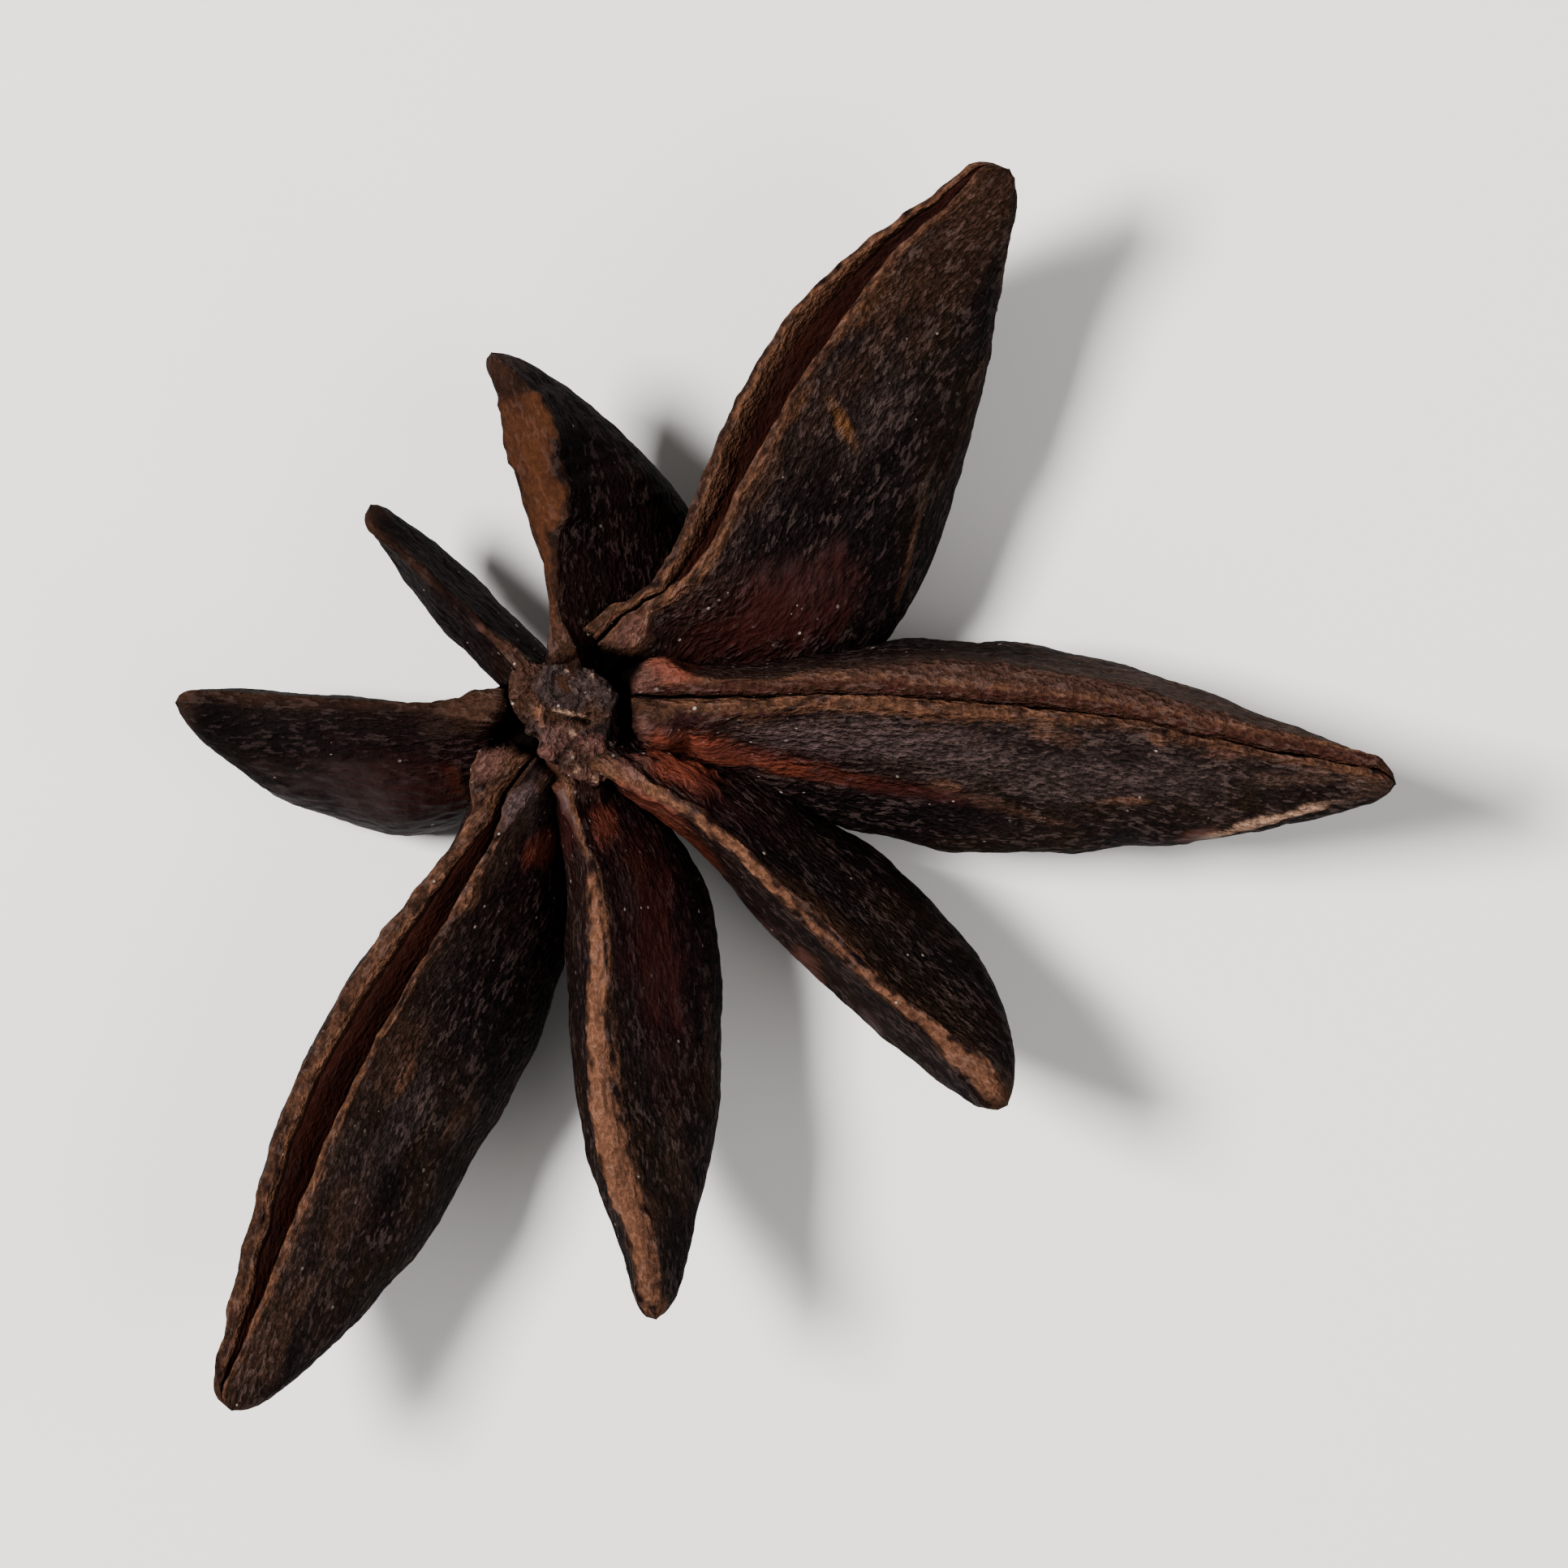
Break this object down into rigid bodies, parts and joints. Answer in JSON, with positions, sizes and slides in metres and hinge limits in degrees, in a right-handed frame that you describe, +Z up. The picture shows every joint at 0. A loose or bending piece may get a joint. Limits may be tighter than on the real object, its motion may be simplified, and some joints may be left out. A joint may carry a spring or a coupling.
{
  "type": "star anise pod",
  "caption": "Whole dried star anise pod: boat-shaped woody follicles of uneven length round a short column, some gaping along the upper slit.",
  "frame": {"origin": "middle of the pod's box, at the height of the surface that its keels rest on", "axes": "+Z up, the side with the slits; +X along the longest shut follicle, away from the column; +Y along the pod's longest side"},
  "size_m": [0.031, 0.032, 0.0085],
  "materials": {
    "dried_husk": "dry, fine-grained dark brown husk with tan lips and deep red flanks near the column"
  },
  "bodies": {
    "root": {"pod": "dried_husk"}
  },
  "joints": []
}
